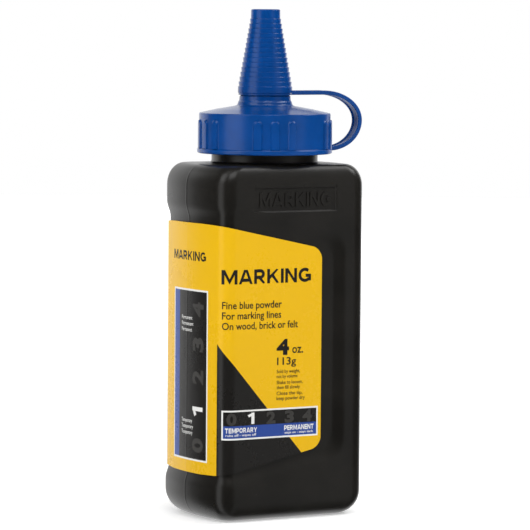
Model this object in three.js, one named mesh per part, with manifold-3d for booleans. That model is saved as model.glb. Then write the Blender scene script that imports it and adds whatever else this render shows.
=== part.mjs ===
// A squeeze bottle of marking chalk: a rounded rectangular bottle with a recessed label panel and a
// threaded neck, a wrapped label, a ribbed screw closure with a tapered nozzle, and a stepped tip cap
// tethered to the closure by a strap of hinged links.
// Millimetres, +Z up. The origin is on the neck's axis, at the middle of the base.
import * as THREE from "three";
import { mergeVertices } from "three/addons/utils/BufferGeometryUtils.js";
import Module from "manifold-3d";

const wasm = await Module();
wasm.setup();

// ---- Driving dimensions ----
const GAP = 0.3; // clearance between pieces that touch

// bottle body
const BODY_WIDTH = 54;
const BODY_DEPTH = 38.5;
const SHOULDER_TOP = 106.6;
const SIDE_RADIUS = 66; // plan radius of the narrow sides
const CORNER_RADIUS = 5.4;
const WALL = 1.2;
const BASE_ROUND = { height: 7.4, inset: 6.6, corner: 3 };
const SHOULDER_ROUND = { height: 6.6, side: 5.2, face: 2.8, corner: 4.6 };

// label panel, a shallow recess that wraps round the -X side
const PANEL_DEPTH = 1.1;
const PANEL_TOP = 92.6;
const PANEL_BOTTOM = 12.6;
const PANEL_EDGE_X = 15.6;
const PANEL_BEND_X = -20; // the sloping top and bottom edges start here
const PANEL_TOP_SLOPE = 0.235;
const PANEL_BOTTOM_SLOPE = 0.2;
const PANEL_ROUND = 6; // how far the panel's corners are blended
const PANEL_RAMP = 2.4; // half width of the sloping border

// label
const LABEL_TOP = 89.2;
const LABEL_BOTTOM = 14;
const LABEL_EDGE_X = 9.4;
const LABEL_BEND_X = -26;
const LABEL_SLOPE = 0.216;
const LABEL_CORNER = 3.2;
const LABEL_SKIN = 0.3;

// neck and thread
const NECK_RADIUS = 16.1;
const NECK_BORE = 14.7;
const NECK_TOP = 119;
const NECK_LIP = 0.2; // chamfer at the mouth
const NECK_FILLET = 0.5;
const SHOULDER_CROWN = 0.2; // how far the shoulder rises towards the neck
const THREAD_PITCH = 4.233;
const THREAD_TURNS = 1.25;
const THREAD_START = 112.2;
const THREAD_HEIGHT = 1.1;
const THREAD_ROOT_WIDTH = 1.9;
const THREAD_CREST_WIDTH = 0.8;
const THREAD_BITE = 0.3; // how far the ridges' roots reach into the walls that carry them
const THREAD_LEAD_IN = 0.15; // height of a ridge's ends, as a part of its full height
const THREAD_STEPS = 44;
const CLOSURE_THREAD_TURN = 0.264; // where the closure's ridge starts, in turns from +X
const CLOSURE_THREAD_CLEARANCE = 0.4;

// closure
const FLANGE_BOTTOM = 109.6;
const FLANGE_TOP = 111.1;
const FLANGE_RADIUS = 20.5;
const SKIRT_RADIUS = 19.95;
const SKIRT_BORE = NECK_RADIUS + THREAD_HEIGHT + 0.4;
const RIM_HEIGHT = 121.85;
const ROOF_UNDERSIDE = 120.3;
const NOZZLE_FOOT = { radius: 8.3, height: 124.1 };
const SEAT = { radius: 7.7, height: 126.9 };
const NOZZLE_BASE_RADIUS = 7.45;
const NOZZLE_TOP = { radius: 3.5, height: 149.2 };
const NOZZLE_WALL = 0.9;
const RIB_COUNT_IN_GROUP = 3;
const RIB_GROUPS = 5;
const RIB_SPACING = THREE.MathUtils.degToRad(15);
const RIB_GROUP_ANGLE = THREE.MathUtils.degToRad(249);
const RIB_WIDTH = 2.9;
const RIB_TOP = 119.9;
const RIB_PROUD = 0.4;
const RIB_DEPTH = 1.35; // from the rib's back, inside the skirt, to its face
const RIB_BEVEL = 0.35;
const CLOSURE_SEGMENTS = 60;

// liner
const LINER_THICKNESS = 0.7;
const LINER_BORE = 13.4;
const LINER_SEGMENTS = 36;

// tip cap
const TIP_BOTTOM = 127.2;
const TIP_TOP = 153.1;
const TIP_TOP_RADIUS = 4.4;
const TIP_COLLAR_RADIUS = 8.25;
const TIP_COLLAR_TOP = 129.8;
const TIP_STEPS_TOP = 150.2;
const TIP_STEPS = 14;
const TIP_SEGMENTS = 40;
const TIP_LEDGE = 0.25; // width of each step, and of the chamfer at the top
const TIP_DRAFT = 0.06; // how much each step widens downwards
const TIP_EDGE = 0.04;

// strap, in the XZ plane
const STRAP_WIDTH = 4.2;
const STRAP_THICKNESS = 1.3;
const STRAP_LOW = 110.75;
const STRAP_HIGH = 127.85;
const STRAP_REACH = 32.7;
const STRAP_ROOT_X = 21.3;
const STRAP_TIP_X = 8.9;
const STRAP_LOW_CENTRE_X = 21.9;
const STRAP_HIGH_CENTRE_X = 19.6;
const STRAP_BITE = 0.8; // how far the flange's block reaches back past the strap's root
const STRAP_LINE_STEPS = 60;
const STRAP_LINK_STEPS = 10;
const STRAP_HINGES = [14.4, 21.8]; // distances along the strap of the two hinges between its ends

// chalk
const CHALK_TOP = 84;
const CHALK_TILT = 0.06; // rise of the powder's surface per millimetre along X

const colours = {
  bottle: new THREE.MeshStandardMaterial({ color: 0x26241f, roughness: 0.42, metalness: 0 }),
  label: new THREE.MeshStandardMaterial({ color: 0xeab800, roughness: 0.35, metalness: 0 }),
  closure: new THREE.MeshStandardMaterial({ color: 0x0a3f86, roughness: 0.4, metalness: 0 }),
  strap: new THREE.MeshStandardMaterial({ color: 0x0b4a9c, roughness: 0.4, metalness: 0 }),
  liner: new THREE.MeshStandardMaterial({ color: 0xe9e7e0, roughness: 0.9, metalness: 0 }),
  chalk: new THREE.MeshStandardMaterial({ color: 0x2a63c4, roughness: 1, metalness: 0 }),
};

// ---- Solids ----

// Joins rings of equal point count into one closed surface, with a fan over the first and last ring.
function loft(rings) {
  const count = rings[0].length;
  const points = rings.flat();
  const faces = [];
  for (let r = 0; r + 1 < rings.length; r++) {
    for (let i = 0; i < count; i++) {
      const j = (i + 1) % count;
      const [a, b, c, d] = [r * count + i, r * count + j, (r + 1) * count + j, (r + 1) * count + i];
      faces.push(a, b, c, a, c, d);
    }
  }
  for (const [start, flip] of [[0, true], [(rings.length - 1) * count, false]]) {
    const centre = new THREE.Vector3();
    for (let i = 0; i < count; i++) centre.addScaledVector(points[start + i], 1 / count);
    const hub = points.push(centre) - 1;
    for (let i = 0; i < count; i++) {
      const edge = [start + i, start + ((i + 1) % count)];
      if (flip) edge.reverse();
      faces.push(hub, ...edge);
    }
  }
  const geometry = new THREE.BufferGeometry().setFromPoints(points);
  geometry.setIndex(faces);
  return geometry;
}

// Makes a manifold solid of a closed geometry, with its faces turned outwards.
function solid(geometry) {
  const bare = geometry.index ? geometry.toNonIndexed() : geometry.clone();
  bare.deleteAttribute("normal");
  bare.deleteAttribute("uv");
  const merged = mergeVertices(bare, 1e-4);
  const triVerts = new Uint32Array(merged.index.array);
  const build = () =>
    new wasm.Manifold(
      new wasm.Mesh({ numProp: 3, vertProperties: merged.attributes.position.array, triVerts }),
    );
  const first = build();
  if (first.volume() > 0) return first;
  for (let i = 0; i < triVerts.length; i += 3)
    [triVerts[i + 1], triVerts[i + 2]] = [triVerts[i + 2], triVerts[i + 1]];
  return build();
}

// Turns a manifold solid into a named mesh.
function part(name, shape, material) {
  const { numProp, vertProperties, triVerts } = shape.getMesh();
  const geometry = new THREE.BufferGeometry();
  const positions = new Float32Array((vertProperties.length / numProp) * 3);
  for (let i = 0; i < positions.length / 3; i++)
    positions.set(vertProperties.subarray(i * numProp, i * numProp + 3), i * 3);
  geometry.setAttribute("position", new THREE.BufferAttribute(positions, 3));
  geometry.setIndex([...triVerts]);
  geometry.computeVertexNormals();
  const mesh = new THREE.Mesh(geometry, material.clone());
  mesh.name = name;
  return mesh;
}

// A turned solid about Z, from a list of [radius, height] that closes on itself or on the axis.
function turned(profile, segments) {
  const points = profile.map(([radius, height]) => new THREE.Vector2(radius, height));
  const geometry = new THREE.LatheGeometry(points, segments);
  geometry.rotateX(Math.PI / 2);
  return solid(geometry);
}

function smoothstep(low, high, value) {
  const t = Math.min(1, Math.max(0, (value - low) / (high - low)));
  return t * t * (3 - 2 * t);
}

// The lesser of two distances, blended over a band so that a corner comes out round.
function roundedMin(a, b, band) {
  const h = Math.max(band - Math.abs(a - b), 0) / band;
  return Math.min(a, b) - (h * h * band) / 4;
}

// ---- Bottle ----

const WALL_HEIGHTS = [10.2, 12.6, 15, 17.5, 20, 23, 28, 54, 76, 80, 83, 86, 88.5, 91, 93.5, 95.5];
const SIDE_STEPS = 3;
const CORNER_STEPS = 4;
const FACE_STEPS = 7;

// One quarter of the plan outline: side arc, corner arc, flat face. Each station is [x, y, nx, ny].
function quarter(width, depth, corner, side) {
  const lean = Math.asin((depth / 2 - corner) / (side - corner));
  const sideX = width / 2 - side;
  const cornerX = sideX + (side - corner) * Math.cos(lean);
  const cornerY = (side - corner) * Math.sin(lean);
  const stations = [];
  const arc = (cx, cy, r, angle) =>
    stations.push([cx + r * Math.cos(angle), cy + r * Math.sin(angle), Math.cos(angle), Math.sin(angle)]);
  for (let i = 0; i < SIDE_STEPS; i++) arc(sideX, 0, side, (lean * i) / SIDE_STEPS);
  for (let i = 0; i < CORNER_STEPS; i++)
    arc(cornerX, cornerY, corner, lean + ((Math.PI / 2 - lean) * i) / CORNER_STEPS);
  for (let i = 0; i < FACE_STEPS; i++) stations.push([cornerX * (1 - i / FACE_STEPS), depth / 2, 0, 1]);
  stations.push([0, depth / 2, 0, 1]);
  return stations;
}

// The whole outline, anticlockwise from +X.
function outline(width, depth, corner, side = SIDE_RADIUS) {
  const q = quarter(width, depth, corner, side);
  const back = q.slice(0, -1);
  const left = q.slice(1).reverse().map(([x, y, nx, ny]) => [-x, y, -nx, ny]);
  const half = [...back, ...left];
  return [...half, ...half.map(([x, y, nx, ny]) => [-x, -y, -nx, -ny])];
}

// How much of the panel's depth is cut at a place on the wall, from 0 to 1.
function panelCut(x, z) {
  const along = Math.max(0, x - PANEL_BEND_X);
  const top = PANEL_TOP - PANEL_TOP_SLOPE * along - z;
  const bottom = z - PANEL_BOTTOM - PANEL_BOTTOM_SLOPE * along;
  const inside = roundedMin(roundedMin(top, bottom, PANEL_ROUND), PANEL_EDGE_X - x, PANEL_ROUND);
  return smoothstep(-PANEL_RAMP, PANEL_RAMP, inside);
}

// Every level of the body from base to shoulder top: height, then the outline's three sizes.
function bodyLevels() {
  const levels = [];
  const roundSteps = 4;
  const shoulder = SHOULDER_TOP - SHOULDER_ROUND.height;
  for (let i = 0; i < roundSteps; i++) {
    const t = ((i / roundSteps) * Math.PI) / 2;
    const inset = 1 - Math.sin(t);
    levels.push([
      BASE_ROUND.height * (1 - Math.cos(t)),
      BODY_WIDTH - 2 * BASE_ROUND.inset * inset,
      BODY_DEPTH - 2 * BASE_ROUND.inset * inset,
      CORNER_RADIUS + (BASE_ROUND.corner - CORNER_RADIUS) * inset,
    ]);
  }
  for (const z of [BASE_ROUND.height, ...WALL_HEIGHTS, shoulder]) levels.push([z, BODY_WIDTH, BODY_DEPTH, CORNER_RADIUS]);
  for (let i = 1; i <= roundSteps; i++) {
    const t = ((i / roundSteps) * Math.PI) / 2;
    const inset = 1 - Math.cos(t);
    levels.push([
      shoulder + SHOULDER_ROUND.height * Math.sin(t),
      BODY_WIDTH - 2 * SHOULDER_ROUND.side * inset,
      BODY_DEPTH - 2 * SHOULDER_ROUND.face * inset,
      CORNER_RADIUS + (SHOULDER_ROUND.corner - CORNER_RADIUS) * inset,
    ]);
  }
  return levels;
}

// One ring of the body, moved inwards along the wall's normal, with the height squeezed to match.
function bodyRing([height, width, depth, corner], inwards) {
  const z = inwards + (height * (SHOULDER_TOP - 2 * inwards)) / SHOULDER_TOP;
  return outline(width, depth, corner).map(([x, y, nx, ny]) => {
    const move = inwards + PANEL_DEPTH * panelCut(x, height);
    return new THREE.Vector3(x - nx * move, y - ny * move, z);
  });
}

// A circle whose points stand at the same angles as the outline's stations.
function neckRing(radius, z) {
  return outline(BODY_WIDTH, BODY_DEPTH, CORNER_RADIUS).map(([x, y]) => {
    const angle = Math.atan2(y, x);
    return new THREE.Vector3(radius * Math.cos(angle), radius * Math.sin(angle), z);
  });
}

// A thread ridge: a trapezoid carried along a helix, from the root radius to the crest radius.
function threadRidge(root, crest, startHeight, startTurn) {
  const rings = [];
  for (let i = 0; i <= THREAD_STEPS; i++) {
    const turn = (THREAD_TURNS * i) / THREAD_STEPS;
    const angle = 2 * Math.PI * (startTurn + turn);
    const z = startHeight + THREAD_PITCH * turn;
    const fade = Math.min(1, i / 3, (THREAD_STEPS - i) / 3);
    const top = root + (crest - root) * Math.max(fade, THREAD_LEAD_IN);
    const corners = [
      [root, -THREAD_ROOT_WIDTH / 2],
      [top, -THREAD_CREST_WIDTH / 2],
      [top, THREAD_CREST_WIDTH / 2],
      [root, THREAD_ROOT_WIDTH / 2],
    ];
    rings.push(corners.map(([r, h]) => new THREE.Vector3(r * Math.cos(angle), r * Math.sin(angle), z + h)));
  }
  return solid(loft(rings));
}

function bottle() {
  const outer = bodyLevels().map((level) => bodyRing(level, 0));
  const cavity = bodyLevels().map((level) => bodyRing(level, WALL)).reverse();
  const foot = SHOULDER_TOP + SHOULDER_CROWN;
  const neckOut = [
    neckRing(NECK_RADIUS + NECK_FILLET, foot),
    neckRing(NECK_RADIUS, foot + NECK_FILLET),
    neckRing(NECK_RADIUS, NECK_TOP - NECK_LIP),
    neckRing(NECK_RADIUS - NECK_LIP, NECK_TOP),
  ];
  const neckIn = [neckRing(NECK_BORE, NECK_TOP), neckRing(NECK_BORE, SHOULDER_TOP - WALL - 2 * SHOULDER_CROWN)];
  const shell = solid(loft([...outer, ...neckOut, ...neckIn, ...cavity]));
  const thread = threadRidge(NECK_RADIUS - THREAD_BITE, NECK_RADIUS + THREAD_HEIGHT, THREAD_START, 0);
  return part("bottle", shell.add(thread), colours.bottle);
}

// ---- Label ----

// The label's top and bottom heights at a place along X, with its free corners rounded.
function labelSpan(x) {
  const along = Math.max(0, x - LABEL_BEND_X);
  const toEdge = Math.max(0, LABEL_EDGE_X - x);
  const near = Math.max(0, LABEL_CORNER - toEdge);
  const round = LABEL_CORNER - Math.sqrt(LABEL_CORNER ** 2 - near ** 2);
  return [LABEL_BOTTOM + LABEL_SLOPE * along + round, LABEL_TOP - LABEL_SLOPE * along - round];
}

// A skin that lies in the panel, from the front face round the -X side to the back face.
function label() {
  const wrapped = outline(BODY_WIDTH, BODY_DEPTH, CORNER_RADIUS).filter(([x]) => x < LABEL_EDGE_X - LABEL_CORNER);
  const faceY = BODY_DEPTH / 2;
  const edge = [1, 0.6, 0.25, 0.03].map((part) => LABEL_EDGE_X - LABEL_CORNER * part);
  const backEdge = edge.slice().reverse().map((x) => [x, faceY, 0, 1]);
  const frontEdge = edge.map((x) => [x, -faceY, 0, -1]);
  const stations = [...backEdge, ...wrapped, ...frontEdge];
  const rings = stations.map(([x, y, nx, ny]) => {
    const [low, high] = labelSpan(x);
    const under = PANEL_DEPTH - GAP;
    const over = under - LABEL_SKIN;
    const at = (depth, z) => new THREE.Vector3(x - nx * depth, y - ny * depth, z);
    return [at(under, low), at(over, low), at(over, high), at(under, high)];
  });
  return part("label", solid(loft(rings)), colours.label);
}

// ---- Chalk ----

// The powder inside, a little clear of the wall, with its surface lower on one side.
function chalk() {
  const levels = bodyLevels().filter(([z]) => z < CHALK_TOP - CHALK_TILT * BODY_WIDTH);
  const rings = levels.map((level) => bodyRing(level, WALL + GAP));
  const top = bodyRing([CHALK_TOP, BODY_WIDTH, BODY_DEPTH, CORNER_RADIUS], WALL + GAP);
  for (const point of top) point.z += CHALK_TILT * point.x;
  rings.push(top);
  return part("chalk_powder", solid(loft(rings)), colours.chalk);
}

// ---- Closure ----

// A vertical grip rib with a round top, standing on the skirt at an angle about Z.
function gripRib(angle) {
  const outlineShape = new THREE.Shape();
  const half = RIB_WIDTH / 2;
  outlineShape.moveTo(-half, FLANGE_TOP - RIB_BEVEL);
  outlineShape.lineTo(half, FLANGE_TOP - RIB_BEVEL);
  outlineShape.lineTo(half, RIB_TOP - half);
  outlineShape.absarc(0, RIB_TOP - half, half, 0, Math.PI, false);
  const geometry = new THREE.ExtrudeGeometry(outlineShape, {
    depth: RIB_DEPTH - RIB_BEVEL,
    bevelEnabled: true,
    bevelSize: -RIB_BEVEL,
    bevelThickness: RIB_BEVEL,
    bevelSegments: 1,
    curveSegments: 6,
  });
  // drawn across X and up Y, then stood upright with its thickness pointing out
  geometry.applyMatrix4(
    new THREE.Matrix4().makeBasis(
      new THREE.Vector3(0, 1, 0),
      new THREE.Vector3(0, 0, 1),
      new THREE.Vector3(1, 0, 0),
    ),
  );
  geometry.translate(SKIRT_RADIUS + RIB_PROUD - RIB_DEPTH, 0, 0);
  geometry.rotateZ(angle);
  return solid(geometry);
}

// A block on the flange or collar that carries an end of the strap.
function strapLug(fromX, toX, z) {
  const geometry = new THREE.BoxGeometry(toX - fromX, STRAP_WIDTH, STRAP_THICKNESS);
  geometry.translate((fromX + toX) / 2, 0, z);
  return solid(geometry);
}

function closure() {
  const bore = (height) =>
    NOZZLE_BASE_RADIUS -
    NOZZLE_WALL -
    ((NOZZLE_BASE_RADIUS - NOZZLE_TOP.radius) * (height - SEAT.height)) / (NOZZLE_TOP.height - SEAT.height);
  let shape = turned(
    [
      [SKIRT_BORE, FLANGE_BOTTOM],
      [FLANGE_RADIUS - 0.25, FLANGE_BOTTOM],
      [FLANGE_RADIUS, FLANGE_BOTTOM + 0.3],
      [FLANGE_RADIUS, FLANGE_TOP - 0.2],
      [FLANGE_RADIUS - 0.2, FLANGE_TOP],
      [SKIRT_RADIUS, FLANGE_TOP],
      [SKIRT_RADIUS, RIM_HEIGHT - 0.5],
      [SKIRT_RADIUS - 0.15, RIM_HEIGHT - 0.15],
      [SKIRT_RADIUS - 0.5, RIM_HEIGHT],
      [NOZZLE_FOOT.radius + 1, NOZZLE_FOOT.height - 0.4],
      [NOZZLE_FOOT.radius, NOZZLE_FOOT.height],
      [SEAT.radius + 0.25, SEAT.height - 1.7],
      [SEAT.radius, SEAT.height],
      [NOZZLE_BASE_RADIUS, SEAT.height],
      [NOZZLE_TOP.radius, NOZZLE_TOP.height],
      [bore(NOZZLE_TOP.height), NOZZLE_TOP.height],
      [bore(SEAT.height), SEAT.height],
      [bore(SEAT.height), ROOF_UNDERSIDE],
      [SKIRT_BORE, ROOF_UNDERSIDE],
      [SKIRT_BORE, FLANGE_BOTTOM],
    ],
    CLOSURE_SEGMENTS,
  );
  for (let group = 0; group < RIB_GROUPS; group++) {
    for (let rib = 0; rib < RIB_COUNT_IN_GROUP; rib++) {
      const offset = (rib - (RIB_COUNT_IN_GROUP - 1) / 2) * RIB_SPACING;
      shape = shape.add(gripRib(RIB_GROUP_ANGLE + (group * 2 * Math.PI) / RIB_GROUPS + offset));
    }
  }
  const startHeight = THREAD_START + THREAD_PITCH * (CLOSURE_THREAD_TURN - 0.5);
  const ridgeRoot = SKIRT_BORE + THREAD_BITE;
  const ridgeCrest = NECK_RADIUS + CLOSURE_THREAD_CLEARANCE;
  shape = shape.add(threadRidge(ridgeRoot, ridgeCrest, startHeight, CLOSURE_THREAD_TURN));
  shape = shape.add(strapLug(SKIRT_RADIUS - STRAP_BITE, STRAP_ROOT_X - STRAP_BITE, STRAP_LOW));
  return part("closure", shape, colours.closure);
}

function liner() {
  const top = ROOF_UNDERSIDE - GAP;
  const bottom = top - LINER_THICKNESS;
  const outer = SKIRT_BORE - GAP;
  const profile = [
    [LINER_BORE, bottom],
    [outer, bottom],
    [outer, top],
    [LINER_BORE, top],
    [LINER_BORE, bottom],
  ];
  return part("closure_liner", turned(profile, LINER_SEGMENTS), colours.liner);
}

// ---- Tip cap ----

function tipCap() {
  const pitch = (TIP_STEPS_TOP - TIP_COLLAR_TOP) / TIP_STEPS;
  const growth = (TIP_COLLAR_RADIUS - TIP_TOP_RADIUS - TIP_LEDGE) / TIP_STEPS;
  const ceiling = NOZZLE_TOP.height + GAP;
  const profile = [
    [0, TIP_TOP],
    [TIP_TOP_RADIUS - TIP_LEDGE, TIP_TOP],
    [TIP_TOP_RADIUS, TIP_TOP - TIP_LEDGE],
    [TIP_TOP_RADIUS + TIP_EDGE, TIP_STEPS_TOP],
  ];
  for (let step = 0; step < TIP_STEPS; step++) {
    const radius = TIP_TOP_RADIUS + TIP_LEDGE + growth * step;
    const height = TIP_STEPS_TOP - pitch * step;
    profile.push([radius, height - TIP_EDGE], [radius + TIP_DRAFT, height - pitch]);
  }
  const mouth = NOZZLE_BASE_RADIUS + GAP;
  profile.push(
    [TIP_COLLAR_RADIUS - TIP_DRAFT, TIP_COLLAR_TOP - TIP_EDGE],
    [TIP_COLLAR_RADIUS, TIP_BOTTOM],
    [mouth, TIP_BOTTOM],
    [NOZZLE_TOP.radius + GAP, ceiling],
    [0, ceiling],
  );
  const shape = turned(profile, TIP_SEGMENTS);
  const lug = strapLug(mouth + GAP / 2, STRAP_TIP_X - GAP / 2, STRAP_HIGH);
  return part("tip_cap", shape.add(lug), colours.strap);
}

// ---- Strap ----

// The strap's centre line at rest: out from the flange, round two quarter ellipses, back to the collar.
function strapLine() {
  const middle = (STRAP_LOW + STRAP_HIGH) / 2;
  const rise = (STRAP_HIGH - STRAP_LOW) / 2;
  const quarterTurn = Math.PI / 2;
  const line = [new THREE.Vector2(STRAP_ROOT_X, STRAP_LOW)];
  for (let i = 0; i <= STRAP_LINE_STEPS; i++) {
    const t = -quarterTurn + (2 * quarterTurn * i) / STRAP_LINE_STEPS;
    const centre = t < 0 ? STRAP_LOW_CENTRE_X : STRAP_HIGH_CENTRE_X;
    line.push(new THREE.Vector2(centre + (STRAP_REACH - centre) * Math.cos(t), middle + rise * Math.sin(t)));
  }
  line.push(new THREE.Vector2(STRAP_TIP_X, STRAP_HIGH));
  return line;
}

// The point and the direction at a distance along a line of points.
function alongLine(line, distance) {
  let travelled = 0;
  for (let i = 0; i + 1 < line.length; i++) {
    const length = line[i].distanceTo(line[i + 1]);
    if (travelled + length >= distance || i + 2 === line.length) {
      const point = line[i].clone().lerp(line[i + 1], (distance - travelled) / length);
      const direction = line[i + 1].clone().sub(line[i]).normalize();
      return { point, direction };
    }
    travelled += length;
  }
}

// One link: a strip between two hinge places, with both ends brought to an edge so that it can turn.
function strapLink(name, line, fromHinge, toHinge) {
  const start = fromHinge + GAP / 2;
  const end = toHinge - GAP / 2;
  const bevel = STRAP_THICKNESS / 2;
  const straight = end - start - 2 * bevel;
  const sides = { left: [], right: [] };
  for (let i = 0; i <= STRAP_LINK_STEPS; i++) {
    const { point, direction } = alongLine(line, start + bevel + (straight * i) / STRAP_LINK_STEPS);
    const normal = new THREE.Vector2(-direction.y, direction.x).multiplyScalar(STRAP_THICKNESS / 2);
    sides.left.push(point.clone().add(normal));
    sides.right.push(point.clone().sub(normal));
  }
  const loop = [
    alongLine(line, start).point,
    ...sides.right,
    alongLine(line, end).point,
    ...sides.left.reverse(),
  ];
  const geometry = new THREE.ExtrudeGeometry(new THREE.Shape(loop), { depth: STRAP_WIDTH, bevelEnabled: false });
  // drawn in X and Y, then stood up in X and Z, centred across Y
  geometry.rotateX(Math.PI / 2);
  geometry.translate(0, STRAP_WIDTH / 2, 0);
  return part(name, solid(geometry), colours.strap);
}

function strap() {
  const line = strapLine();
  const length = line.slice(1).reduce((sum, point, i) => sum + point.distanceTo(line[i]), 0);
  const hinges = [0, ...STRAP_HINGES, length];
  const names = ["strap_lower", "strap_middle", "strap_upper"];
  return names.map((name, i) => strapLink(name, line, hinges[i], hinges[i + 1]));
}

const chalkBottle = new THREE.Group();
chalkBottle.add(bottle(), label(), chalk(), closure(), liner(), tipCap(), ...strap());

export default chalkBottle;
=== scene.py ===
"""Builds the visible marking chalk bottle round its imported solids: the black bottle, its printed
label, the blue screw closure with its nozzle, the stepped tip cap, the strap that tethers it, the
liner and the powder, and a plain pale studio. Shapes are worked out in millimetres, in the frame
of the solids: Z runs up the neck's axis and -Y points out of the front."""

import math

import bmesh
import bpy
import numpy as np
from bpy.props import FloatProperty, FloatVectorProperty, PointerProperty
from mathutils import Matrix, Vector


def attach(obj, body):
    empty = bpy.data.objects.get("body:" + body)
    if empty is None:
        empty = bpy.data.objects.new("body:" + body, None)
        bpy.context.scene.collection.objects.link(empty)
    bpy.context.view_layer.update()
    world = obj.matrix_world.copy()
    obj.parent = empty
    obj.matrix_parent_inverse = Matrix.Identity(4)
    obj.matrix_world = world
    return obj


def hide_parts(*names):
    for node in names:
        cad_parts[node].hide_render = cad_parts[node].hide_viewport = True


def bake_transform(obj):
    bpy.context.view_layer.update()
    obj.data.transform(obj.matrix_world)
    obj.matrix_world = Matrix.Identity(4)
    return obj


bl_info = {
    "name": "Marking Chalk Bottle",
    "version": (1, 0, 0),
    "blender": (4, 5, 0),
    "location": "3D View > Sidebar > Chalk Bottle",
    "description": "Builds a squeeze bottle of marking chalk with a tethered tip cap",
    "category": "Add Mesh",
}

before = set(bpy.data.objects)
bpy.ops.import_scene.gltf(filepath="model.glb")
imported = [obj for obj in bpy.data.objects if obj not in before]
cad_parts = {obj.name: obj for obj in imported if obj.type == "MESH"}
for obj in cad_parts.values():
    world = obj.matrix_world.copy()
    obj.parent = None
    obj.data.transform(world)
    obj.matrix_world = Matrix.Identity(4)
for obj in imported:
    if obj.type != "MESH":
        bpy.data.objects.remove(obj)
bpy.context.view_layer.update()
MM = 0.001

# body, in millimetres
BODY_WIDTH = 54.0
BODY_DEPTH = 38.5
SHOULDER_TOP = 106.6
SIDE_RADIUS = 66.0
CORNER_RADIUS = 5.4
WALL = 1.2
BASE_ROUND = {"height": 7.4, "inset": 6.6, "corner": 3.0}
SHOULDER_ROUND = {"height": 6.6, "side": 5.2, "face": 2.8, "corner": 4.6}
SEAM = 0.06

# recess for the label
PANEL_DEPTH = 1.1
PANEL_TOP = 92.6
PANEL_BOTTOM = 12.6
PANEL_EDGE = 15.6
PANEL_BEND = -20.0
PANEL_TOP_SLOPE = 0.235
PANEL_BOTTOM_SLOPE = 0.2
PANEL_ROUND = 6.0
PANEL_RAMP = 2.4

# sunk plate above the label
PLATE_HALF_WIDTH = 14.1
PLATE_LOW = 92.96
PLATE_HIGH = 99.9
PLATE_WORD_WIDTH = 24.6
PLATE_WORD_HEIGHT = 4.3

# label
LABEL_TOP = 89.2
LABEL_BOTTOM = 14.0
LABEL_EDGE = 9.4
LABEL_BEND = -26.0
LABEL_SLOPE = 0.216
LABEL_CORNER = 3.2
LABEL_FACE = 0.5
LABEL_BACK = 0.8
MAP_WIDTH = 200.0

# flat print on the label, as distances round it from the middle of the side and heights: each
# frame and strip is left, right, low and high, and each frame has the width of its rim too
DARK_CORNER_EDGE = 15.5
DARK_CORNER_HEIGHT = 53.8
DARK_CORNER_SLOPE = 1.163
SCALE_FRAMES = ((17.2, 50.0, 25.1, 34.0, 0.5), (-8.75, 11.25, 17.7, 69.3, 0.55))
SCALE_STRIPS = ((17.7, 49.5, 25.6, 29.3), (-8.2, -4.75, 18.25, 68.75))

# neck, closure and nozzle
NECK_RADIUS = 16.1
NECK_BORE = 14.7
NECK_TOP = 119.0
THREAD_PITCH = 4.233
THREAD_TURNS = 1.25
THREAD_START = 112.2
SKIRT_BORE = 17.6
SKIRT_RADIUS = 19.95
FLANGE_RADIUS = 20.5
FLANGE_BOTTOM = 109.6
FLANGE_TOP = 111.1
RIM_HEIGHT = 121.85
ROOF_UNDERSIDE = 120.3
RIB_ANGLE = math.radians(249)
RIB_SPACING = math.radians(15)
RIB_GROUPS = 5
RIB_HALF = 1.45
RIB_TOP = 119.9
NOZZLE_FOOT = 126.9
NOZZLE_TOP = 149.2
NOZZLE_FOOT_RADIUS = 7.45
NOZZLE_TOP_RADIUS = 3.5
NOZZLE_FOOT_BORE = 6.55
SKIRT_THREAD_TURN = 0.264

# tip cap and strap
TIP_TOP = 153.1
TIP_BOTTOM = 127.2
TIP_STEPS = 14
TIP_STEPS_TOP = 150.2
TIP_COLLAR_TOP = 129.8
TIP_COLLAR_RADIUS = 8.25
TIP_RADIUS = 4.4
TIP_LEDGE = 0.25
TIP_CEILING = 149.5
STRAP_LOW = 110.75
STRAP_HIGH = 127.85
STRAP_REACH = 32.69
STRAP_ROOT = 21.3
STRAP_TIP = 8.9
STRAP_LOW_CENTRE = 21.9
STRAP_HIGH_CENTRE = 19.6
STRAP_HINGES = (14.4, 21.8)
STRAP_JOINS = (7.2, 18.1, 32.7)

# powder
CHALK_SIDES_TOP = 80.0
CHALK_TOP = 84.0
CHALK_GAP = 0.3

# camera: its turns in radians, and in metres the height it looks at, its shift and its distance
CAMERA_SIDE = math.radians(30)
CAMERA_PITCH = math.atan2(253, 3450)
CAMERA_ROLL = math.radians(0.43)
CAMERA_HEIGHT = 0.075544
CAMERA_SHIFT = 0.00038
CAMERA_DISTANCE = 1.0488

# softboxes: place and width in metres, and whether gloss shows them
LIGHT_TARGET = (0.0, 0.0, 0.075)
SOFTBOXES = {
    "front": ((-0.25, -0.95, 1.3), 0.9, True),
    "left": ((-1.15, -0.2, 1.1), 0.9, True),
    "right": ((1.0, -0.35, 1.1), 0.8, True),
    "back": ((0.3, 1.2, 1.0), 0.9, False),
}


# ---- Settings ----


def colour_setting(name, description, default):
    """A colour that the sidebar shows, as a linear red, green and blue."""
    return FloatVectorProperty(
        name=name, description=description, default=default, subtype="COLOR", min=0.0, max=1.0
    )


def length_setting(name, description, default):
    """A length that the sidebar shows, in metres."""
    return FloatProperty(
        name=name, description=description, default=default, unit="LENGTH", precision=5
    )


def power_setting(name, description, default):
    """A light's power that the sidebar shows, in watts."""
    return FloatProperty(name=name, description=description, default=default, unit="POWER")


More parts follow.
